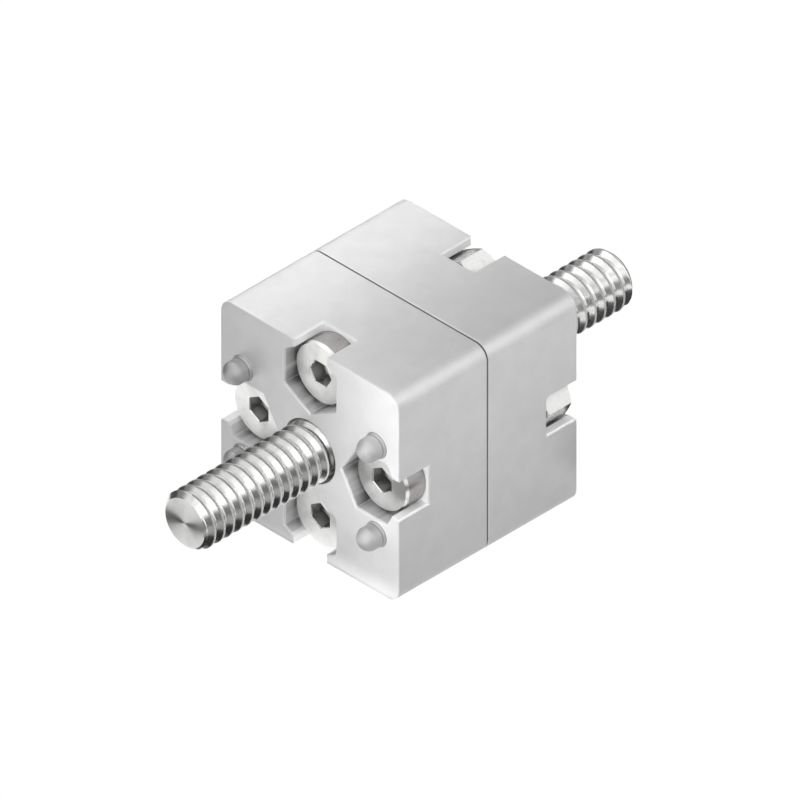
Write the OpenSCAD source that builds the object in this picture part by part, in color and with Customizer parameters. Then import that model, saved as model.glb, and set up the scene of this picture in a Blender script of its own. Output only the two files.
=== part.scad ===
// Profile end connector, in millimetres. Two die-cast halves meet at x = 0 and are
// drawn together by four clamp screws and their nuts. In the middle of each half a
// core screw reaches out along x, for the core bore of a square slotted profile.
// The origin is the middle of the joint, x runs along the core screws and z is up.

/* [Block] */
// Side of the square block, across and up
block_side = 30; // [28.5:0.5:45]
// Depth of one casting, from the joint to its end face
casting_depth = 15; // [13:0.5:30]
// Radius of the four long edges
edge_r = 2; // [1:0.25:4]
// Break of the edges round each end face
end_break = 0.1; // [0.05:0.05:0.8]
// Break of the edges round the joint, which leaves a fine groove all round
joint_break = 0.2; // [0.1:0.05:0.6]

/* [Pockets] */
// Clearance between a pocket and the nut or head in it, on each side
pocket_clear = 0.1; // [0.05:0.05:0.4]
// Depth that the tip of a clamp screw stays below the end face
tip_cover = 0.1; // [0.05:0.05:1]
// Depth that a nut's outer corner stays below the side face
corner_cover = 0.03; // [0.01:0.01:0.5]
// Width of the slot from a pocket out to the side face
slot_w = 5.4; // [3:0.1:7]
// Break of the edges round the pockets and slots
mouth_break = 0.2; // [0.05:0.05:0.4]

/* [Locating pins] */
// Distance of each pin from the nearest left or right side face
pin_inset = 3.75; // [3:0.05:5]
// Land left between a pin's foot and the pocket beside it
pin_land = 0.2; // [0.1:0.05:1.5]
// Diameter of a pin
pin_d = 3.1; // [2.4:0.05:3.2]
// Height of a pin, with its dome
pin_h = 2.8; // [2.4:0.05:5]
// Height of the dome alone
pin_dome_h = 1.2; // [0.6:0.05:1.2]
// How far the foot stands out round the pin
pin_foot_step = 0.22; // [0.1:0.02:0.4]
// Height of the foot
pin_foot_h = 0.45; // [0.2:0.05:0.8]

/* [Core screws] */
// Thread diameter
core_d = 8; // [6:0.5:9]
// Length of thread that stands out past the end face
core_reach = 21; // [10:0.5:40]
// Length of plain neck that shows between the end face and the thread
core_neck = 0.2; // [0.1:0.05:1]
// How much thinner the shank and neck are than the thread, on each side
core_shank_step = 0.4; // [0.2:0.05:0.8]
// Chamfer at the tip
core_tip = 0.7; // [0.3:0.05:1.2]
// Head diameter
core_head_d = 13; // [11:0.1:13.3]
// Head height
core_head_h = 5; // [4:0.1:6]
// Space between the head and the joint
core_head_gap = 1; // [0.2:0.1:2]
// Width across the flats of the socket
core_key = 5; // [3:0.5:6]
// Depth of the socket's flats
core_key_depth = 3; // [1.5:0.1:3.4]
// Clearance between the thread and its bore, on each side
core_bore_clear = 0.33; // [0.1:0.01:0.4]
// Clearance between the head and its counterbore, on each side
core_seat_clear = 0.25; // [0.1:0.05:0.3]

/* [Clamp screws and nuts] */
// Thread diameter
clamp_d = 5; // [4:0.1:5.5]
// Length of thread that shows past the nut
clamp_past = 0.4; // [0.2:0.05:1]
// Chamfer at the tip
clamp_tip = 0.4; // [0.2:0.05:0.6]
// Head diameter
clamp_head_d = 8.4; // [7:0.1:9]
// Head height
clamp_head_h = 3.2; // [2.8:0.1:4.5]
// Width across the flats of the socket
clamp_key = 3; // [2:0.1:4]
// Depth of the socket's flats
clamp_key_depth = 2; // [1:0.1:2.1]
// Clearance between the thread and its bore, on each side
clamp_bore_clear = 0.25; // [0.1:0.05:0.4]
// Width across the flats of the nut
nut_flats = 8; // [7:0.1:9]
// Height of the nut
nut_h = 4.5; // [3.5:0.1:5.5]
// Width of the nut's chamfer, in from its corners
nut_chamfer = 0.72; // [0.65:0.01:1]
// Clearance between the nut's bore and the thread, on each side
nut_fit = 0.02; // [0.01:0.01:0.05]

/* [Hidden] */
$fn = 72;
past = 1;                      // how far a cut runs past the face it opens
hex_turn = 30;                 // turn that brings a hexagon's flat where its corner was
drill_slope = tan(30);         // rise of a drill point of 120 degrees
nut_slope = tan(30);           // rise of a nut's chamfer
rim_in = 0.2;                  // width of the small chamfer round a screw head
rim_down = 0.45;               // depth of that chamfer
half_side = block_side / 2;
nut_corner_r = nut_flats / 2 / cos(30);
pocket_flats = max(nut_flats, clamp_head_d) + 2 * pocket_clear;
pocket_depth = nut_h + clamp_past + tip_cover;
pocket_floor = casting_depth - pocket_depth;
clamp_offset = half_side - corner_cover - nut_corner_r;
pin_offset = half_side - pin_inset;
pin_rise = pocket_flats / 2 + mouth_break + pin_land + pin_foot_step + pin_d / 2;
core_seat = core_head_h + core_head_gap;
turns = [0, 90, 180, 270];     // turns about x that lead to the top, right, bottom and left
key_turns = [hex_turn, hex_turn, 0, hex_turn];  // how each clamp screw came to rest
casting_grey = "#c8cacb";
steel_grey = "#b4b4b0";

// Places. What belongs to one half is drawn from the joint up its own z axis, and then laid
// along x, out to the rear or out to the front.
module lay_rear() {
    rotate([0, 90, 0]) children();
}

module lay_front() {
    rotate([0, -90, 0]) children();
}

// The middle of a clamp screw: its tip points to the rear, and its own minus x axis outwards
module at_clamp(place) {
    rotate([turns[place], 0, 0]) translate([0, 0, clamp_offset]) rotate([0, 90, 0]) children();
}

// A straight bar along y whose section widens with z, from half_low to half_high each side
module widening_bar(half_low, half_high, height, length) {
    rotate([90, 0, 0]) linear_extrude(height = length, center = true)
        polygon([[-half_low, 0], [half_low, 0], [half_high, height], [-half_high, height]]);
}

// Half of the block without its cuts: two crossing bars with broken edges, and a turned
// post at each corner that carries the same breaks round the long edges
module broken_bar(length) {
    inner_end = half_side - end_break;
    inner_joint = half_side - joint_break;
    neck = casting_depth - end_break;
    rotate([90, 0, 0]) linear_extrude(height = length, center = true)
        polygon([[-inner_joint, 0], [inner_joint, 0], [half_side, joint_break], [half_side, neck],
                 [inner_end, casting_depth], [-inner_end, casting_depth], [-half_side, neck],
                 [-half_side, joint_break]]);
}

module corner_post() {
    rotate_extrude()
        polygon([[0, 0], [edge_r - joint_break, 0], [edge_r, joint_break],
                 [edge_r, casting_depth - end_break], [edge_r - end_break, casting_depth],
                 [0, casting_depth]]);
}

module block_half() {
    straight = block_side - 2 * edge_r;
    corner = half_side - edge_r;
    broken_bar(straight);
    rotate([0, 0, 90]) broken_bar(straight);
    for (x = [-corner, corner], y = [-corner, corner])
        translate([x, y, 0]) corner_post();
}

// The broken edge of a hexagonal pocket in the end face
module hex_mouth() {
    flat = pocket_flats / 2;
    grow = mouth_break + past;
    intersection_for(turn = [0, 60, 120])
        rotate([0, 0, turn + hex_turn])
            widening_bar(flat, flat + grow, grow, 2 * pocket_flats);
}

// The broken edge of a slot in the side face, drawn with that face upwards: it widens
// across the slot and towards the joint
module side_mouth() {
    grow = mouth_break + past;
    intersection() {
        rotate([0, 0, 90])
            widening_bar(slot_w / 2, slot_w / 2 + grow, grow, 4 * pocket_depth);
        widening_bar(pocket_depth, pocket_depth + grow, grow, 2 * slot_w);
    }
}

// Pocket for a nut or a screw head, with its slot out to the side face and its clamp bore
module pocket() {
    run = half_side + past - clamp_offset;
    rise = pocket_depth + past;
    translate([clamp_offset, 0, pocket_floor])
        cylinder(d = pocket_flats / cos(30), h = rise, $fn = 6);
    translate([clamp_offset, -slot_w / 2, pocket_floor])
        cube([run, slot_w, rise]);
    translate([clamp_offset, 0, casting_depth - mouth_break])
        hex_mouth();
    translate([clamp_offset + run / 2, 0, casting_depth - mouth_break])
        rotate([0, 0, 90])
            widening_bar(slot_w / 2, slot_w / 2 + mouth_break + past, mouth_break + past, run);
    translate([half_side - mouth_break, 0, casting_depth])
        rotate([0, 90, 0])
            side_mouth();
    translate([clamp_offset, 0, -past])
        cylinder(d = clamp_d + 2 * clamp_bore_clear, h = casting_depth + past);
}

// Locating pin on the end face: a low tapered foot, a straight body and a domed end
module pin() {
    body_r = pin_d / 2;
    foot_r = body_r + pin_foot_step;
    dome_start = pin_h - pin_dome_h;
    dome_r = (body_r * body_r + pin_dome_h * pin_dome_h) / (2 * pin_dome_h);
    translate([0, 0, casting_depth]) {
        rotate_extrude()
            polygon([[0, -past], [foot_r, -past], [foot_r, 0], [body_r, pin_foot_h],
                     [body_r, dome_start], [0, dome_start]]);
        intersection() {
            translate([0, 0, dome_start]) cylinder(r = body_r, h = pin_h);
            translate([0, 0, pin_h - dome_r]) sphere(r = dome_r);
        }
    }
}

module casting() {
    difference() {
        block_half();
        for (turn = turns)
            rotate([0, 0, turn]) pocket();
        translate([0, 0, -past])
            cylinder(d = core_d + 2 * core_bore_clear, h = casting_depth + 2 * past);
        translate([0, 0, -past])
            cylinder(d = core_head_d + 2 * core_seat_clear, h = core_seat + past);
    }
    for (x = [-pin_rise, pin_rise], y = [-pin_offset, pin_offset])
        translate([x, y, 0]) pin();
}

// Hexagon socket with a drill point, cut up the z axis from z = 0
module key_socket(flats, depth) {
    translate([0, 0, -past])
        cylinder(d = flats / cos(30), h = depth + past, $fn = 6);
    translate([0, 0, depth])
        cylinder(d1 = flats, d2 = 0, h = flats / 2 * drill_slope);
}

// Core screw, from its head near the joint to its tip outside the end face
module core_screw() {
    head_top = core_seat - core_head_h;
    head_r = core_head_d / 2;
    thread_r = core_d / 2;
    shank_r = thread_r - core_shank_step;
    thread_start = casting_depth + core_neck;
    tip = casting_depth + core_reach;
    difference() {
        rotate_extrude()
            polygon([[0, head_top], [head_r - rim_in, head_top], [head_r, head_top + rim_down],
                     [head_r, core_seat], [shank_r, core_seat],
                     [shank_r, thread_start - core_shank_step], [thread_r, thread_start],
                     [thread_r, tip - core_tip], [thread_r - core_tip, tip], [0, tip]]);
        translate([0, 0, head_top]) key_socket(core_key, core_key_depth);
    }
}

// Clamp screw, with its head in the front half and its tip in the rear half
module clamp_screw(key_turn) {
    seat = -pocket_floor;
    head_top = seat - clamp_head_h;
    head_r = clamp_head_d / 2;
    thread_r = clamp_d / 2;
    tip = pocket_floor + nut_h + clamp_past;
    difference() {
        rotate_extrude()
            polygon([[0, head_top], [head_r - rim_in, head_top], [head_r, head_top + rim_down],
                     [head_r, seat], [thread_r, seat], [thread_r, tip - clamp_tip],
                     [thread_r - clamp_tip, tip], [0, tip]]);
        translate([0, 0, head_top])
            rotate([0, 0, key_turn]) key_socket(clamp_key, clamp_key_depth);
    }
}

// Clamp nut on the floor of a rear pocket, with chamfered corners and a countersunk bore
module clamp_nut() {
    face_r = nut_corner_r - nut_chamfer;
    drop = nut_chamfer * nut_slope;
    bore_r = clamp_d / 2 + nut_fit;
    sink_r = bore_r + clamp_tip;
    translate([0, 0, pocket_floor])
        intersection() {
            cylinder(r = nut_corner_r, h = nut_h, $fn = 6);
            rotate_extrude()
                polygon([[sink_r, 0], [face_r, 0], [nut_corner_r, drop], [nut_corner_r, nut_h - drop],
                         [face_r, nut_h], [sink_r, nut_h], [bore_r, nut_h - clamp_tip],
                         [bore_r, clamp_tip]]);
        }
}

module connector_half_front() {
    color(casting_grey) lay_front() casting();
}

module connector_half_rear() {
    color(casting_grey) lay_rear() casting();
}

module core_screw_front() {
    color(steel_grey) lay_front() core_screw();
}

module core_screw_rear() {
    color(steel_grey) lay_rear() core_screw();
}

module placed_screw(place) {
    color(steel_grey) at_clamp(place) clamp_screw(key_turns[place]);
}

module placed_nut(place) {
    color(steel_grey) at_clamp(place) clamp_nut();
}

connector_half_front();
connector_half_rear();
core_screw_front();
core_screw_rear();
placed_screw(0);  // clamp_screw_top
placed_screw(1);  // clamp_screw_right
placed_screw(2);  // clamp_screw_bottom
placed_screw(3);  // clamp_screw_left
placed_nut(0);  // clamp_nut_top
placed_nut(1);  // clamp_nut_right
placed_nut(2);  // clamp_nut_bottom
placed_nut(3);  // clamp_nut_left
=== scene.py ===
import math

import bmesh
import bpy
from mathutils import Matrix, Vector


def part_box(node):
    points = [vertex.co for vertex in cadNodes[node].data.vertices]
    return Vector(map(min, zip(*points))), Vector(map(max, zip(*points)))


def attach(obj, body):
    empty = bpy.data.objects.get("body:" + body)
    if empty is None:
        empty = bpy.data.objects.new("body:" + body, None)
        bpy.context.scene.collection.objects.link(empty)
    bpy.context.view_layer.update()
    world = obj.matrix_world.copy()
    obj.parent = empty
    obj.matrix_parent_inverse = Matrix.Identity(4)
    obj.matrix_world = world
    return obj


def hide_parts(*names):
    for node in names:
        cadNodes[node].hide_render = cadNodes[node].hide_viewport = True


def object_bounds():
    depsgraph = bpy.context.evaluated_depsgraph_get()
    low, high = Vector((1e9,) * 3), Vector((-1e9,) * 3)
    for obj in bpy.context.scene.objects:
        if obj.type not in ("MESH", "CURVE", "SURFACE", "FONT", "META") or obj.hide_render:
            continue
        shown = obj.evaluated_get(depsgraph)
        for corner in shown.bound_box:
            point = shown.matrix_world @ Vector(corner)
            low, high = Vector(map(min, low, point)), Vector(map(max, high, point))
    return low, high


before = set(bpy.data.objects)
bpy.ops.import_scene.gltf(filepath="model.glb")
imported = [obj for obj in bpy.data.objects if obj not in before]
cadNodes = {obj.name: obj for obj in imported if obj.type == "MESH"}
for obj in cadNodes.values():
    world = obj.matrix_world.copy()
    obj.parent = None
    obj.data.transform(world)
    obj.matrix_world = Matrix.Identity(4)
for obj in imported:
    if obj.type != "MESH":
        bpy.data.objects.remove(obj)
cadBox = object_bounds()
mm = 0.001
weld = 0.0005 * mm  # points closer than this become one
fullTurn = 2 * math.pi
print("frame loaded:", len(cadNodes), "nodes")


# node trees

def addNode(tree, kind, inputs=None, **settings):
    made = tree.nodes.new(kind)
    for name, value in settings.items():
        setattr(made, name, value)
    for name, value in (inputs or {}).items():
        plug(tree, value, made.inputs[name])
    return made


def plug(tree, value, socket):
    if isinstance(value, bpy.types.NodeSocket):
        tree.links.new(value, socket)
    else:
        socket.default_value = value


def calc(tree, operation, *values, clamp=False):  # one math node, given back as its output
    made = tree.nodes.new("ShaderNodeMath")
    made.operation = operation
    made.use_clamp = clamp
    for socket, value in zip(made.inputs, values):
        plug(tree, value, socket)
    return made.outputs[0]


def blendColour(tree, share, first, second):
    made = addNode(tree, "ShaderNodeMix", data_type="RGBA")
    for index, value in ((0, share), (6, first), (7, second)):
        plug(tree, value, made.inputs[index])
    return made.outputs[2]


def spread(tree, value, low, high, newLow=0.0, newHigh=1.0):  # map range, held at both ends
    made = addNode(tree, "ShaderNodeMapRange", {"Value": value, "From Min": low, "From Max": high,
                                                "To Min": newLow, "To Max": newHigh})
    return made.outputs["Result"]


def emptyTree(holder):  # the node tree of a material or world
    holder.use_nodes = True
    holder.node_tree.nodes.clear()
    return holder.node_tree


def show(tree, surface, output="ShaderNodeOutputMaterial"):
    plug(tree, surface, tree.nodes.new(output).inputs["Surface"])


def startMaterial(name):
    made = bpy.data.materials.new(name)
    tree = emptyTree(made)
    shader = tree.nodes.new("ShaderNodeBsdfPrincipled")
    show(tree, shader.outputs[0])
    return made, tree, shader


def millimetres(tree):  # object coordinates, counted in millimetres
    coordinates = tree.nodes.new("ShaderNodeTexCoord")
    mapping = addNode(tree, "ShaderNodeMapping", {"Vector": coordinates.outputs["Object"],
                                                  "Scale": (1 / mm, 1 / mm, 1 / mm)})
    return mapping.outputs[0]


def noise(tree, vector, scale, detail=2.0, roughness=0.5):
    made = addNode(tree, "ShaderNodeTexNoise", {"Vector": vector, "Scale": scale, "Detail": detail,
                                                "Roughness": roughness})
    return made.outputs["Fac"]


def opennessOf(tree, reach):  # 1 in the open, towards 0 deep in corners
    occlusion = addNode(tree, "ShaderNodeAmbientOcclusion", {"Distance": reach * mm}, samples=8)
    return occlusion.outputs["AO"]


def softEdges(tree, radius):  # the rounded normal, and how far it leans away from the true one
    bevel = addNode(tree, "ShaderNodeBevel", {"Radius": radius * mm}, samples=6)
    geometry = tree.nodes.new("ShaderNodeNewGeometry")
    dot = addNode(tree, "ShaderNodeVectorMath", operation="DOT_PRODUCT")
    tree.links.new(bevel.outputs[0], dot.inputs[0])
    tree.links.new(geometry.outputs["Normal"], dot.inputs[1])
    return bevel.outputs[0], calc(tree, "SUBTRACT", 1.0, dot.outputs["Value"], clamp=True)


def addBump(tree, shader, pattern, strength, height, normal):
    bump = addNode(tree, "ShaderNodeBump", {"Height": pattern, "Strength": strength,
                                            "Distance": height * mm, "Normal": normal})
    plug(tree, bump.outputs[0], shader.inputs["Normal"])


# die-cast skin of the two halves: satin, faintly mottled, darker in the joint, worn edges lighter as
# wear and as a painted highlight, a painted highlight on the slots' walls, painted shade deep in the
# pockets, along the foot and in the pins' seams, and pins painted darker; lengths in millimetres,
# counted from the middle of the block

castingLook = {
    "colour": (0.76, 0.76, 0.765, 1),
    "mottle": (0.71, 0.71, 0.715, 1),
    "mottlePerMm": 0.35,
    # the colour of the worn edges, which is also a painted highlight there and on the slots' walls
    "wearAndHighlight": (0.97, 0.97, 0.97, 1),
    # the colour of the painted shade in the pockets, along the foot and in the pins' seams
    "grimeAndShade": (0.09, 0.09, 0.09, 1),
    "shadeReach": 2.4,
    "shadedTo": 14.95,  # the painted shade stays inside the pockets, off the end faces
    "fade": 0.15,  # how softly it ends there
    "streaksPerMm": 0.75,
    "streakShare": 0.06,  # the painted shade in the pockets is streaked along x, the draw of the die
    "outerFrom": (12.4, 13.6),  # from here outwards the painted shade leaves the side faces, and the slots' painted highlight begins
    "pocketShade": (0.28, 0.95),  # painted shade in the open part of a pocket, and deep in its corners
    "slotHighlight": 0.85,  # painted highlight: the slots' walls are painted lighter
    "slotHalfWidth": 3.2,
    "footShade": 0.35,  # painted shade along the lower edge, where the block stands on the floor
    "footHeight": 0.7,
    # painted shade: the pins are painted darker than the faces
    "pinShade": (0.49, 0.49, 0.495, 1),
    "pinSeams": (15.05, 15.45),  # lines of painted shade where a pin's foot meets the face, and the pin its foot
    "pinSeamHalfWidth": 0.07,
    "jointShade": (0.1, 0.1, 0.1, 1),
    "metallic": 0.45,
    "pinMetallic": 0.65,
    "roughness": (0.42, 0.55),
    "grainPerMm": 7.0,
    "grainHeight": 0.012,
    "grainStrength": 0.5,
    "edgeRadius": 0.18,
    "jointHalfWidth": 0.14,
}


def makeCastingMaterial(look):
    made, tree, shader = startMaterial("castingSkin")
    place = millimetres(tree)
    x, y, z = addNode(tree, "ShaderNodeSeparateXYZ", {"Vector": place}).outputs
    fromJoint, fromMiddleY, fromMiddleZ = [calc(tree, "ABSOLUTE", axis) for axis in (x, y, z)]
    outermost = calc(tree, "MAXIMUM", fromMiddleY, fromMiddleZ)
    cloud = noise(tree, place, look["mottlePerMm"], 4.0, 0.6)
    grain = noise(tree, place, look["grainPerMm"], 3.0, 0.65)
    normal, lean = softEdges(tree, look["edgeRadius"])
    # edges lighter, as wear and as a painted highlight, where the rounded normal leans away
    edgeWearAndHighlight = calc(tree, "MULTIPLY", spread(tree, lean, 0.02, 0.1),
                spread(tree, cloud, 0.3, 0.6, 0.8, 1.0))
    colour = blendColour(tree, spread(tree, cloud, 0.35, 0.75), look["colour"], look["mottle"])

    # painted shade: darker deep in the pockets, from the ambient occlusion node, and along the foot
    outerFrom, outerTo = look["outerFrom"]
    least, most = look["pocketShade"]
    pocketed = spread(tree, fromJoint, look["shadedTo"] - look["fade"], look["shadedTo"], 1.0, 0.0)
    drawn = addNode(tree, "ShaderNodeMapping", {"Vector": place, "Scale": (look["streakShare"], 1, 1)})
    streaks = noise(tree, drawn.outputs[0], look["streaksPerMm"], 1.0)
    grimeAndShade = spread(tree, opennessOf(tree, look["shadeReach"]), 0.4, 1.0, most, least)
    for share in (spread(tree, outermost, outerFrom, outerTo, 1.0, 0.0), pocketed,
                  spread(tree, streaks, 0.4, 0.6, 0.5, 1.0)):
        grimeAndShade = calc(tree, "MULTIPLY", grimeAndShade, share)
    low, high = cadBox[0].z / mm, cadBox[1].z / mm
    foot = spread(tree, z, low, low + look["footHeight"], look["footShade"], 0.0)
    colour = blendColour(tree, calc(tree, "MAXIMUM", grimeAndShade, foot), colour, look["grimeAndShade"])

    # the slots' walls get a painted highlight, the pins are painted darker with lines of painted shade
    # at their seams, the worn edges are lighter as wear and as a painted highlight, and the joint is
    # dark
    # painted highlight on the slots' walls
    inSlot = spread(tree, calc(tree, "MINIMUM", fromMiddleY, fromMiddleZ), look["slotHalfWidth"] - 0.1,
                    look["slotHalfWidth"], look["slotHighlight"], 0.0)
    for share in (spread(tree, outermost, outerFrom, outerTo), pocketed,
                  spread(tree, outermost, high - look["fade"], high - 0.05, 1.0, 0.0)):
        inSlot = calc(tree, "MULTIPLY", inSlot, share)
    colour = blendColour(tree, inSlot, colour, look["wearAndHighlight"])
    footSeam = look["pinSeams"][0]
    # painted shade: the pins are painted darker than the faces
    onPin = spread(tree, fromJoint, footSeam - 0.04, footSeam, 0.0, 1.0)
    colour = blendColour(tree, onPin, colour, look["pinShade"])
    # painted shade: dark lines where a pin's foot meets the face and the pin meets its foot
    for seam in look["pinSeams"]:
        gap = calc(tree, "ABSOLUTE", calc(tree, "SUBTRACT", fromJoint, seam))
        inSeam = spread(tree, gap, 0.02, look["pinSeamHalfWidth"], 1.0, 0.0)
        colour = blendColour(tree, calc(tree, "MULTIPLY", onPin, inSeam), colour, look["grimeAndShade"])
    # no painted edge highlight along the foot
    edgeWearAndHighlight = calc(tree, "MULTIPLY", edgeWearAndHighlight, spread(tree, foot, 0.0, 0.1, 1.0, 0.0))
    colour = blendColour(tree, edgeWearAndHighlight, colour, look["wearAndHighlight"])
    inJoint = spread(tree, fromJoint, look["jointHalfWidth"] * 0.6, look["jointHalfWidth"], 1.0, 0.0)
    colour = blendColour(tree, inJoint, colour, look["jointShade"])

    plug(tree, colour, shader.inputs["Base Color"])
    plug(tree, spread(tree, grain, 0.3, 0.7, *look["roughness"]), shader.inputs["Roughness"])
    plug(tree, spread(tree, onPin, 0.0, 1.0, look["metallic"], look["pinMetallic"]),
         shader.inputs["Metallic"])
    addBump(tree, shader, grain, look["grainStrength"], look["grainHeight"], normal)
    return made


# bright zinc on steel, with the marks of turning and rolling round each piece's axis

steelLook = {
    "plating": (0.9, 0.905, 0.885, 1),
    "dull": (0.74, 0.745, 0.73, 1),
    # painted shade: the heads' sides, deep in the pockets, are painted darker
    "shadedBarrel": (0.41, 0.395, 0.39, 1),
    "bright": (0.94, 0.945, 0.925, 1),
    # painted highlight on the thread crests
    "crestHighlight": (0.97, 0.97, 0.96, 1),
    # the colour of dirt, and of the painted shade in corners, thread roots and sockets
    "grimeAndShade": (0.05, 0.048, 0.046, 1),
    "smudgesPerMm": 0.9,
    "smudgeGrime": 0.12,
    "ringsPerMm": 3.5,
    "ringHeight": 0.004,
    "ringStrength": 0.4,
    "crestMetallic": 0.05,  # painted highlight: the crests are painted a dull white line
}
# what each finish has of its own: how far the marks of turning stretch a highlight, how dark the
# painted shade gets in corners and thread roots and how far the corner shade reaches, the vertex
# attribute that paints shade onto the surface and, on a thread, a highlight onto the crests, and the
# colour underneath
steelFinishes = {
    "rolledThread": {"turning": 0.5, "roughness": (0.2, 0.3), "edgeRadius": 0.03,
                     "grimeAndShade": 0.2, "reach": 0, "shade": "threadDepth"},
    "turnedFace": {"turning": 0.95, "roughness": (0.32, 0.38), "edgeRadius": 0.05,
                   "grimeAndShade": 0.35, "reach": 0.7, "base": "bright"},
    "plainSteel": {"turning": 0.0, "roughness": (0.2, 0.32), "edgeRadius": 0.05,
                   "grimeAndShade": 0.8, "reach": 1.6},
    "socketSteel": {"turning": 0.0, "roughness": (0.25, 0.4), "edgeRadius": 0.04,
                    "grimeAndShade": 0.3, "reach": 2.4, "shade": "socketShade"},
    "nutFlat": {"turning": 0.0, "roughness": (0.24, 0.34), "edgeRadius": 0.05,
                "grimeAndShade": 0.8, "reach": 1.6, "base": "dull"},
    "headBarrel": {"turning": 0.3, "roughness": (0.26, 0.36), "edgeRadius": 0.04,
                   "grimeAndShade": 0.8, "reach": 1.2, "base": "shadedBarrel"},
}


def makeSteelMaterial(name, look, turning, roughness, edgeRadius, grimeAndShade, reach, shade=None,
                      base="plating"):
    made, tree, shader = startMaterial(name)
    unrolled = addNode(tree, "ShaderNodeUVMap", uv_map="turned").outputs[0]
    smudge = noise(tree, millimetres(tree), look["smudgesPerMm"], 3.0, 0.55)
    dirtAndShade = spread(tree, smudge, 0.5, 0.8, 0.0, look["smudgeGrime"])
    # painted shade in corners, from the ambient occlusion node
    if reach:
        shadeInCorners = spread(tree, opennessOf(tree, reach), 0.15, 0.8, grimeAndShade, 0.0)
        dirtAndShade = calc(tree, "ADD", dirtAndShade, shadeInCorners, clamp=True)
    # painted shade in the thread roots and deeper in the sockets, from the vertex attributes
    if shade:
        marked = addNode(tree, "ShaderNodeAttribute", attribute_name=shade).outputs["Fac"]
        shadeInDepth = marked if shade == "socketShade" else spread(tree, marked, 0.78, 0.98, 0.0, grimeAndShade)
        dirtAndShade = calc(tree, "MAXIMUM", dirtAndShade, shadeInDepth)
    colour = blendColour(tree, dirtAndShade, look[base], look["grimeAndShade"])
    metallic = 1.0
    # painted highlight: the thread crests are painted a dull white and less metallic
    if shade == "threadDepth":
        crestHighlight = spread(tree, marked, 0.06, 0.2, 1.0, 0.0)
        colour = blendColour(tree, crestHighlight, colour, look["crestHighlight"])
        metallic = spread(tree, crestHighlight, 0.0, 1.0, 1.0, look["crestMetallic"])
    plug(tree, colour, shader.inputs["Base Color"])
    plug(tree, metallic, shader.inputs["Metallic"])
    plug(tree, spread(tree, smudge, 0.3, 0.75, *roughness), shader.inputs["Roughness"])

    # the marks of turning draw a highlight out round the axis
    tangent = addNode(tree, "ShaderNodeTangent", direction_type="UV_MAP", uv_map="turned")
    plug(tree, turning, shader.inputs["Anisotropic"])
    plug(tree, 0.25, shader.inputs["Anisotropic Rotation"])
    plug(tree, tangent.outputs[0], shader.inputs["Tangent"])
    rings = noise(tree, unrolled, look["ringsPerMm"], 2.0, 0.6)
    normal, _ = softEdges(tree, edgeRadius)
    addBump(tree, shader, rings, look["ringStrength"], look["ringHeight"], normal)
    return made


castingSkin = makeCastingMaterial(castingLook)
steels = {name: makeSteelMaterial(name, steelLook, **finish) for name, finish in steelFinishes.items()}
# their places in each screw's and nut's material list
rolled, turned, plain, socket, nutFlat, shadedBarrel = range(len(steels))
print("materials made")


# rolled threads: a strip of one pitch that winds round x, from its run-out to its chamfered tip

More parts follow.
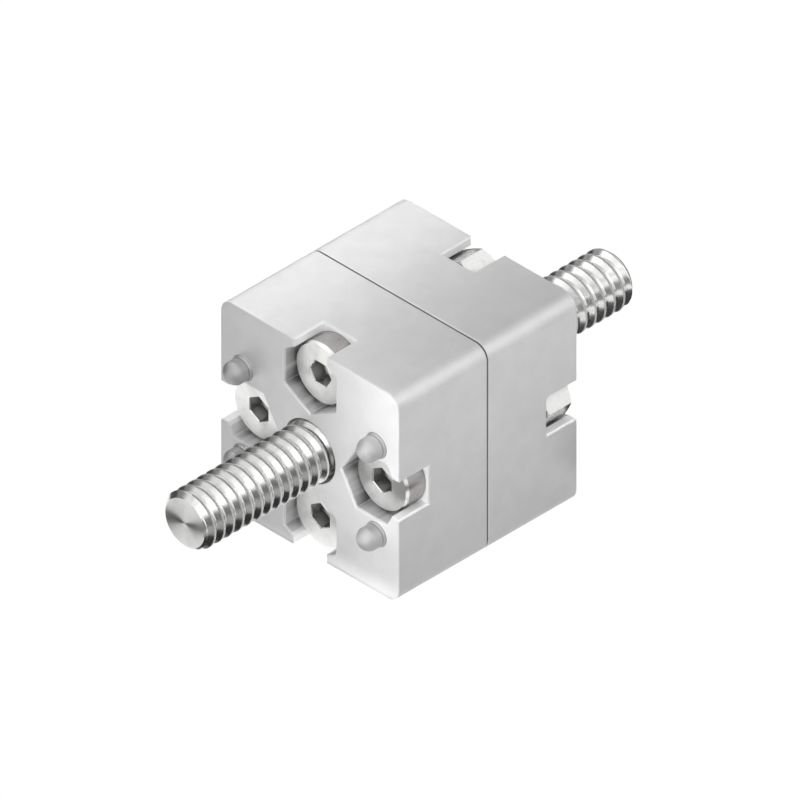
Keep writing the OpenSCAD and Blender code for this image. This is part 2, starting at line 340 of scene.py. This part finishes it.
def threadTree():
    tree = bpy.data.node_groups.new("rolledThread", "GeometryNodeTree")
    wanted = {"Float": ("Pitch", "Crest radius", "Root radius", "Shank radius", "Tip radius", "Start",
                        "Tip", "Run-out"),
              "Int": ("Steps round", "Steps across"), "Material": ("Material",)}
    sockets = tree.interface
    sockets.new_socket(name="Geometry", in_out="INPUT", socket_type="NodeSocketGeometry")
    for kind, names in wanted.items():
        for name in names:
            sockets.new_socket(name=name, in_out="INPUT", socket_type="NodeSocket" + kind)
    sockets.new_socket(name="Geometry", in_out="OUTPUT", socket_type="NodeSocketGeometry")
    given = tree.nodes.new("NodeGroupInput").outputs
    crestFlat, rootFlat = 0.1, 0.1  # shares of a pitch, as on metric threads

    pitch, start, tip = given["Pitch"], given["Start"], given["Tip"]
    length = calc(tree, "SUBTRACT", tip, start)
    spareTurns = 2.0
    turns = calc(tree, "CEIL", calc(tree, "ADD", calc(tree, "DIVIDE", length, pitch), spareTurns))
    stepsLong = calc(tree, "ADD", calc(tree, "MULTIPLY", turns, given["Steps round"]), 1.0)
    stepsWide = calc(tree, "ADD", given["Steps across"], 1.0)
    grid = addNode(tree, "GeometryNodeMeshGrid", {"Size X": turns, "Size Y": 1.0,
                                                  "Vertices X": stepsLong, "Vertices Y": stepsWide})
    at = addNode(tree, "ShaderNodeSeparateXYZ",
                 {"Vector": tree.nodes.new("GeometryNodeInputPosition").outputs[0]})
    turn = calc(tree, "ADD", at.outputs["X"], calc(tree, "DIVIDE", turns, 2.0))
    phase = at.outputs["Y"]  # from -0.5 to 0.5 across one pitch, with the root in the middle
    wound = calc(tree, "MULTIPLY", pitch, calc(tree, "SUBTRACT", calc(tree, "ADD", turn, phase), 1.0))
    along = calc(tree, "MINIMUM", calc(tree, "MAXIMUM", calc(tree, "ADD", start, wound), start), tip)

    flank = 0.5 - crestFlat / 2 - rootFlat / 2
    offRoot = calc(tree, "SUBTRACT", calc(tree, "ABSOLUTE", phase), rootFlat / 2)
    rise = calc(tree, "DIVIDE", offRoot, flank, clamp=True)
    depth = calc(tree, "SUBTRACT", given["Crest radius"], given["Root radius"])
    height = calc(tree, "MULTIPLY", rise, depth)
    threaded = calc(tree, "ADD", given["Root radius"], height)
    fade = calc(tree, "DIVIDE", calc(tree, "SUBTRACT", along, start), given["Run-out"], clamp=True)
    grown = calc(tree, "MULTIPLY", fade, calc(tree, "SUBTRACT", threaded, given["Shank radius"]))
    chamfer = calc(tree, "ADD", given["Tip radius"], calc(tree, "SUBTRACT", tip, along))
    radius = calc(tree, "MINIMUM", calc(tree, "ADD", given["Shank radius"], grown), chamfer)
    angle = calc(tree, "MULTIPLY", turn, fullTurn)
    wrapped = addNode(tree, "ShaderNodeCombineXYZ", {
        "X": along,
        "Y": calc(tree, "MULTIPLY", radius, calc(tree, "COSINE", angle)),
        "Z": calc(tree, "MULTIPLY", radius, calc(tree, "SINE", angle))})
    strip = addNode(tree, "GeometryNodeSetPosition", {"Geometry": grid.outputs["Mesh"],
                                                      "Position": wrapped.outputs[0]})
    cap = addNode(tree, "GeometryNodeMeshCircle",
                  {"Vertices": given["Steps round"], "Radius": given["Tip radius"]},
                  fill_type="TRIANGLE_FAN")
    capPlace = addNode(tree, "ShaderNodeCombineXYZ", {"X": tip})
    capped = addNode(tree, "GeometryNodeTransform", {"Geometry": cap.outputs["Mesh"],
                                                     "Translation": capPlace.outputs[0],
                                                     "Rotation": (math.pi / 2, 0, math.pi / 2)})
    joined = tree.nodes.new("GeometryNodeJoinGeometry")
    tree.links.new(capped.outputs[0], joined.inputs[0])
    tree.links.new(strip.outputs[0], joined.inputs[0])
    merged = addNode(tree, "GeometryNodeMergeByDistance", {"Geometry": joined.outputs[0],
                                                           "Distance": weld})
    real = addNode(tree, "GeometryNodeRealizeInstances", {"Geometry": merged.outputs[0]})
    painted = addNode(tree, "GeometryNodeSetMaterial", {"Geometry": real.outputs[0],
                                                        "Material": given["Material"]})
    output = tree.nodes.new("NodeGroupOutput")
    tree.links.new(painted.outputs[0], output.inputs[0])
    return tree


def grow(tree, name, sizes):  # the tree's result as a plain mesh; sizes are its inputs by name
    holder = bpy.data.objects.new(name, bpy.data.meshes.new(name))
    bpy.context.scene.collection.objects.link(holder)
    modifier = holder.modifiers.new(name, "NODES")
    modifier.node_group = tree
    identifiers = {item.name: item.identifier for item in tree.interface.items_tree
                   if item.in_out == "INPUT"}
    for key, value in sizes.items():
        modifier[identifiers[key]] = value
    bpy.context.view_layer.update()
    graph = bpy.context.evaluated_depsgraph_get()
    mesh = bpy.data.meshes.new_from_object(holder.evaluated_get(graph), depsgraph=graph)
    holder.modifiers.remove(modifier)
    bpy.data.objects.remove(holder)
    return mesh


# turned bodies: rings along x, each round or hexagonal

halfCorner = fullTurn / 12  # from the middle of a hexagon's flat to its corner


def hexRadius(halfFlats, angle, cornerAt):
    return halfFlats / math.cos((angle - cornerAt) % (2 * halfCorner) - halfCorner)


def ringPoints(mesh, along, radius, steps):  # both may change round the ring
    points = []
    for step in range(steps):
        angle = fullTurn * step / steps
        x, r = [value(angle) if callable(value) else value for value in (along, radius)]
        points.append(mesh.verts.new((x, r * math.cos(angle), r * math.sin(angle))))
    return points


# faces between neighbouring rings, with the material index that the later ring names; point closes
# the last ring with a cone
def turnRings(mesh, rings, steps, point=None):
    layers = [ringPoints(mesh, x, radius, steps) for x, radius, _ in rings]
    finishes = [finish for _, _, finish in rings]
    for low, high, finish in zip(layers, layers[1:], finishes[1:]):
        for step in range(steps):
            after = (step + 1) % steps
            face = mesh.faces.new((low[step], low[after], high[after], high[step]))
            face.material_index = finish
    if point is not None:
        last, middle = layers[-1], mesh.verts.new((point, 0, 0))
        for step in range(steps):
            face = mesh.faces.new((last[step], last[(step + 1) % steps], middle))
            face.material_index = finishes[-1]


def unrollAround(mesh):  # the UV map "turned": the angle round the axis, and millimetres out or along
    uv = mesh.loops.layers.uv.new("turned")
    for face in mesh.faces:
        middle = face.calc_center_median()
        base = math.atan2(middle.z, middle.y)
        facesAlong = abs(face.normal.x) > 0.7
        for loop in face.loops:
            x, y, z = loop.vert.co
            radius = math.hypot(y, z)
            angle = math.atan2(z, y) if radius > weld else base
            angle = base + (angle - base + math.pi) % fullTurn - math.pi
            loop[uv].uv = (angle, (radius if facesAlong else x) / mm)


# painted shade in a socket: how dark at its mouth and at its floor
socketShades = {"mouth": 0.12, "floor": 0.58}
unthreadedDepth = 0.4  # neither a crest nor a root


# the vertex attributes: threadDepth runs from 0 on a crest to 1 in a root, and socketShade from a
# socket's mouth to its floor; the materials paint shade from them into the roots and sockets, and a
# highlight onto the crests
def markDepth(mesh, size, head, floor):
    depth = mesh.verts.layers.float.new("threadDepth")
    shade = mesh.verts.layers.float.new("socketShade")
    start, tip = size["threadStart"] + size["startFinish"], size["tip"] - size["tipFinish"]
    mouthShade, floorShade = socketShades["mouth"], socketShades["floor"]
    for vert in mesh.verts:
        x, y, z = vert.co / mm
        if start < x < tip:
            sunk = (size["crestRadius"] - math.hypot(y, z)) / (size["crestRadius"] - size["rootRadius"])
            vert[depth] = min(1, max(0, sunk))
        else:
            down = min(1, max(0, (x - head) / (floor - head)))
            vert[depth] = unthreadedDepth
            vert[shade] = mouthShade + (floorShade - mouthShade) * down


# screws: the core screws and the clamp screws share one build, with their own sizes in millimetres;
# startFinish and tipFinish are how much of a thread's ends is left unmarked

coreScrew = {
    "seat": 6.0, "headRadius": 6.5, "headHeight": 5.0, "socketFlats": 5.0, "socketDepth": 3.0,
    "shankRadius": 3.6, "threadStart": 13.4, "runOut": 1.4, "pitch": 1.587,
    "crestRadius": 4.0, "rootRadius": 3.45, "tipRadius": 3.3, "tip": 36.0,
    "stepsRound": 96, "stepsAcross": 16, "startFinish": 0.2, "tipFinish": 0.7,
}
clampScrew = {
    "seat": 10.0, "headRadius": 4.2, "headHeight": 3.2, "socketFlats": 3.0, "socketDepth": 2.0,
    "shankRadius": 2.45, "threadStart": -1.0, "runOut": 1.0, "pitch": 0.8,
    "crestRadius": 2.5, "rootRadius": 2.1, "tipRadius": 2.1, "tip": 14.9,
    "stepsRound": 72, "stepsAcross": 8, "startFinish": 0.2, "tipFinish": 0.4,
}
rimChamfer = {"wide": 0.2, "deep": 0.45, "mouth": 0.12}
drillRise = math.tan(halfCorner)  # the drill's point in a socket, and the corners of a nut
threads = threadTree()


# the whole screw along x, its head at the low end; seat is where the head's underside lies
def buildScrew(name, size, seat, cornerAt):
    steps = size["stepsRound"]
    mesh = grow(threads, name, {
        "Pitch": size["pitch"] * mm, "Crest radius": size["crestRadius"] * mm,
        "Root radius": size["rootRadius"] * mm, "Shank radius": size["shankRadius"] * mm,
        "Tip radius": size["tipRadius"] * mm, "Start": size["threadStart"] * mm,
        "Tip": size["tip"] * mm, "Run-out": size["runOut"] * mm, "Steps round": steps,
        "Steps across": size["stepsAcross"], "Material": steels["rolledThread"]})
    head = seat - size["headHeight"]
    outer = size["headRadius"]
    halfFlats = size["socketFlats"] / 2
    mouth = halfFlats + rimChamfer["mouth"]
    floor = head + size["socketDepth"]

    def flats(half):
        return lambda angle: hexRadius(half, angle, cornerAt) * mm

    rings = [
        (size["threadStart"] * mm, size["shankRadius"] * mm, plain),
        (seat * mm, size["shankRadius"] * mm, plain),
        (seat * mm, outer * mm, plain),
        ((head + rimChamfer["deep"]) * mm, outer * mm, shadedBarrel),
        (head * mm, (outer - rimChamfer["wide"]) * mm, plain),
        (head * mm, flats(mouth), turned),
        ((head + rimChamfer["mouth"]) * mm, flats(halfFlats), plain),
        (floor * mm, flats(halfFlats), socket),
        (floor * mm, halfFlats * mm, socket),
    ]
    work = bmesh.new()
    work.from_mesh(mesh)
    tip = (size["tip"] - 0.01) * mm
    for face in work.faces:
        onTip = abs(face.normal.x) > 0.99 and face.calc_center_median().x > tip
        face.material_index = turned if onTip else rolled
    turnRings(work, rings, steps, point=(floor + halfFlats * drillRise) * mm)
    bmesh.ops.remove_doubles(work, verts=work.verts, dist=weld)
    bmesh.ops.recalc_face_normals(work, faces=work.faces)
    unrollAround(work)
    markDepth(work, size, head, floor)
    mesh.materials.clear()
    for finish in steels.values():
        mesh.materials.append(finish)
    work.to_mesh(mesh)
    work.free()
    return mesh


def dress(mesh, name, place, nodeName, sharpAt=30):
    mesh.transform(place)
    for face in mesh.polygons:
        face.use_smooth = True
    mesh.set_sharp_from_angle(angle=math.radians(sharpAt))
    mesh.update()
    piece = bpy.data.objects.new(name, mesh)
    bpy.context.scene.collection.objects.link(piece)
    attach(piece, "root")
    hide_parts(nodeName)
    return piece


def beside(low, high):  # onto the axis of a node that lies along x
    return Matrix.Translation((0, (low.y + high.y) / 2, (low.z + high.z) / 2))


studs = bpy.data.collections.new("studs")
halfTurn = Matrix.Rotation(math.pi, 4, "Z")
for end, place in (("rear", Matrix.Identity(4)), ("front", halfTurn)):
    mesh = buildScrew("coreScrew", coreScrew, coreScrew["seat"], 0.0)
    studs.objects.link(dress(mesh, f"coreScrew_{end}", place, f"core_screw_{end}"))

# where a corner of the hexagon points, in each clamp screw's socket and on its nut
socketCorner = {"top": 0.0, "right": halfCorner, "bottom": halfCorner, "left": halfCorner}
nutCorner = {"top": halfCorner, "right": 0.0, "bottom": halfCorner, "left": 0.0}
for side, cornerAt in socketCorner.items():
    low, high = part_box(f"clamp_screw_{side}")
    mesh = buildScrew("clampScrew", clampScrew, -clampScrew["seat"], cornerAt)
    dress(mesh, f"clampScrew_{side}", beside(low, high), f"clamp_screw_{side}")
print("screws made")


# nuts: hexagon with chamfered corners, its bore countersunk at both ends

clampNut = {"flats": 8.0, "chamfer": 0.72, "bore": 2.52, "sink": 0.4, "stepsRound": 72}


def buildNut(name, size, low, high, cornerAt):
    half = size["flats"] / 2
    faceRadius = half / math.cos(halfCorner) - size["chamfer"]

    def edge(angle):
        return hexRadius(half, angle, cornerAt) * mm

    def drop(angle):
        return (hexRadius(half, angle, cornerAt) - faceRadius) * drillRise * mm

    bore, sink = size["bore"], size["sink"]
    rings = [
        (low + sink * mm, bore * mm, plain),
        (low, (bore + sink) * mm, plain),
        (low, faceRadius * mm, turned),
        (lambda angle: low + drop(angle), edge, plain),
        (lambda angle: high - drop(angle), edge, nutFlat),
        (high, faceRadius * mm, plain),
        (high, (bore + sink) * mm, turned),
        (high - sink * mm, bore * mm, plain),
        (low + sink * mm, bore * mm, plain),
    ]
    work = bmesh.new()
    turnRings(work, rings, size["stepsRound"])
    bmesh.ops.remove_doubles(work, verts=work.verts, dist=weld)
    bmesh.ops.recalc_face_normals(work, faces=work.faces)
    unrollAround(work)
    mesh = bpy.data.meshes.new(name)
    work.to_mesh(mesh)
    work.free()
    for finish in steels.values():
        mesh.materials.append(finish)
    return mesh


for side, cornerAt in nutCorner.items():
    low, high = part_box(f"clamp_nut_{side}")
    mesh = buildNut("clampNut", clampNut, low.x, high.x, cornerAt)
    dress(mesh, f"clampNut_{side}", beside(low, high), f"clamp_nut_{side}")
print("nuts made")


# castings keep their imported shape

castings = bpy.data.collections.new("castings")
for end in ("front", "rear"):
    casting = cadNodes[f"connector_half_{end}"]
    for held in casting.material_slots:
        held.material = castingSkin
    castings.objects.link(casting)
print("castings dressed")


# floor, lamps, cards and world

def level(x, y, z=-14.8):  # corners of a rectangle that lies level; a card's are in millimetres
    return [(x[0], y[0], z), (x[1], y[0], z), (x[1], y[1], z), (x[0], y[1], z)]


studio = {
    "floorSize": 3.0,
    "floorGap": 0.02,  # in millimetres, below the block
    "floorColour": (0.86, 0.86, 0.86, 1),
    "floorLift": 0.82,
    "world": 0.03,  # light that the room gives
    "backdrop": 1.0,  # the room as the camera and the metal see it
    "lamps": {
        "behind": {"at": (-0.10, 0.16, 0.28), "look": (0, 0, 0.015), "size": (0.25, 0.25),
                   "power": 0.24},
        "right": {"at": (0.16, -0.16, 0.16), "look": (0, 0, 0.01), "size": (0.17, 0.17),
                  "power": 0.095},
        # strips that only shade the castings, or the studs' crests painted a dull white, without
        # shadows or reflections
        "frontWash": {"at": (-0.030, -0.014, 0), "look": (-0.015, -0.014, 0), "size": (0.003, 0.07),
                      "power": 0.0098, "onlyOn": castings},
        "topWash": {"at": (0, 0.014, 0.030), "look": (0, 0.014, 0.015), "size": (0.003, 0.07),
                    "power": 0.006, "along": (1, 0, 0), "onlyOn": castings},
        "rightWash": {"at": (0, -0.045, 0.014), "look": (0, -0.015, 0.014), "size": (0.003, 0.09),
                      "power": 0.0091, "along": (1, 0, 0), "onlyOn": castings},
        "crestWash": {"at": (-0.02, -0.05, -0.03), "look": (-0.02, 0, 0), "size": (0.01, 0.09),
                      "power": 0.02, "along": (1, 0, 0), "onlyOn": studs},
    },
    # grey cards that only gloss picks up: their outlines in millimetres, and how light each is
    "cards": {
        "underStud": {"outline": level((-120, -17), (-15, -1)), "tone": 0.03},
        "belowStud": {"outline": [(-45, -1, -14.8), (-17, -1, -14.8), (-17, 5.5, -14.8),
                                  (-45, 2, -14.8)], "tone": 0.16},
        "nearStud": {"outline": level((-120, -17), (-45, -15)), "tone": 0.38},
        "rightOfStud": {"outline": level((-160, 10), (-160, -45)), "tone": 0.14},
        "besideStud": {"outline": [(-150, -70, -15), (-60, -160, -15), (-60, -160, 30),
                                   (-150, -70, 30)], "tone": 0.14},
        "underRearStud": {"outline": level((20, 56), (-26, 2)), "tone": 0.05},
        "pastRearStud": {"outline": level((50, 110), (-10, 48)), "tone": 0.1},
        "rightOfRearStud": {"outline": level((42, 120), (-160, -60)), "tone": 0.06},
        "underHead": {"outline": level((-27, -15.5), (-1, 13), -14.7), "tone": 0.7},
        "tipStrip": {"outline": [(-35, 11, -7), (-39, 15, -7), (-53, 1.4, -7), (-49, -2.8, -7)],
                     "tone": 0.05},
        "leftHorizon": {"outline": [(-75, 60, -14.8), (60, 60, -14.8), (60, 60, 14),
                                    (-75, 60, 14)], "tone": 0.05},
        "besideBlock": {"outline": level((-17, 16), (-28, -15.5)), "tone": 0.8},
        "sheen": {"outline": [(-160, -110, 60), (-120, -130, 60), (-110, -60, 130),
                              (-150, -40, 130)], "tone": 2.0},
        "leftSky": {"outline": [(-170, 120, 10), (10, 160, 10), (10, 160, 130),
                                (-170, 120, 130)], "tone": 0.2},
        "frontSky": {"outline": [(-20, 12, 70), (-20, 120, 70), (-160, 120, 110),
                                 (-160, 12, 110)], "tone": 0.7},
        "rightSky": {"outline": level((15, 120), (0, 55), 75), "tone": 0.7},
    },
}
white = (1, 1, 1, 1)


def seenOrMirrored(tree):  # 1 for what the camera, gloss and glass see, 0 for the light itself
    path = tree.nodes.new("ShaderNodeLightPath")
    seen = calc(tree, "ADD", path.outputs["Is Camera Ray"], path.outputs["Is Glossy Ray"])
    return calc(tree, "ADD", seen, path.outputs["Is Transmission Ray"], clamp=True)


def addPanel(name, outline, material):
    mesh = bpy.data.meshes.new(name)
    mesh.from_pydata(outline, [], [(0, 1, 2, 3)])
    mesh.materials.append(material)
    panel = bpy.data.objects.new(name, mesh)
    bpy.context.scene.collection.objects.link(panel)
    return panel


def makeFloor(size):
    made = bpy.data.materials.new("paleFloor")
    tree = emptyTree(made)
    diffuse = addNode(tree, "ShaderNodeBsdfDiffuse", {"Color": size["floorColour"]})
    lift = addNode(tree, "ShaderNodeEmission", {
        "Color": white, "Strength": calc(tree, "MULTIPLY", seenOrMirrored(tree), size["floorLift"])})
    total = tree.nodes.new("ShaderNodeAddShader")
    plug(tree, diffuse.outputs[0], total.inputs[0])
    plug(tree, lift.outputs[0], total.inputs[1])
    show(tree, total.outputs[0])
    z = cadBox[0].z - size["floorGap"] * mm
    half = size["floorSize"] / 2
    floor = addPanel("floor", level((-half, half), (-half, half), z), made)


# a soft box; along is the way that its length runs
def makeLamp(name, at, look, size, power, along=(0, 0, 1), onlyOn=None):
    data = bpy.data.lights.new(name, "AREA")
    data.shape = "RECTANGLE"
    data.size, data.size_y = size
    data.energy = power
    back = (Vector(at) - Vector(look)).normalized()
    side = Vector(along).cross(back).normalized()
    turn = Matrix((side, back.cross(side), back)).transposed()
    lamp = bpy.data.objects.new(name, data)
    lamp.matrix_world = Matrix.Translation(at) @ turn.to_4x4()
    bpy.context.scene.collection.objects.link(lamp)
    if onlyOn:
        data.use_shadow = False
        lamp.visible_glossy = False
        lamp.light_linking.receiver_collection = onlyOn


def makeCard(name, outline, tone):
    made = bpy.data.materials.new(name)
    tree = emptyTree(made)
    paint = addNode(tree, "ShaderNodeEmission", {"Color": white, "Strength": tone})
    show(tree, paint.outputs[0])
    card = addPanel(name, [Vector(corner) * mm for corner in outline], made)
    card.visible_camera = card.visible_diffuse = False
    card.visible_shadow = card.visible_transmission = False


def makeWorld(strength, backdrop):
    world = bpy.data.worlds.new("softRoom")
    tree = emptyTree(world)
    glow = spread(tree, seenOrMirrored(tree), 0.0, 1.0, strength, backdrop)
    background = addNode(tree, "ShaderNodeBackground", {"Color": white, "Strength": glow})
    show(tree, background.outputs[0], "ShaderNodeOutputWorld")
    bpy.context.scene.world = world


makeFloor(studio)
for name, lamp in studio["lamps"].items():
    makeLamp(name, **lamp)
for name, card in studio["cards"].items():
    makeCard(name, **card)
makeWorld(studio["world"], studio["backdrop"])
print("studio lit")


# camera: a parallel view along the diagonal of the block, as in an isometric drawing

shot = {"azimuth": -45.0, "elevation": 35.2644, "width": 0.0952, "distance": 0.5,
        "right": 0.00014, "up": -0.00005, "clip": (0.01, 10)}


def makeCamera(size):
    azimuth, elevation = math.radians(size["azimuth"]), math.radians(size["elevation"])
    back = Vector((math.sin(azimuth) * math.cos(elevation),
                   -math.cos(azimuth) * math.cos(elevation), math.sin(elevation)))
    data = bpy.data.cameras.new("camera")
    data.type = "ORTHO"
    data.ortho_scale = size["width"]
    data.clip_start, data.clip_end = size["clip"]
    camera = bpy.data.objects.new("camera", data)
    turn = (-back).to_track_quat("-Z", "Y")
    camera.rotation_euler = turn.to_euler()
    camera.location = back * size["distance"] + turn @ Vector((size["right"], size["up"], 0))
    bpy.context.scene.collection.objects.link(camera)
    bpy.context.scene.camera = camera


makeCamera(shot)
bpy.context.scene.view_settings.view_transform = "Standard"

bpy.context.view_layer.update()
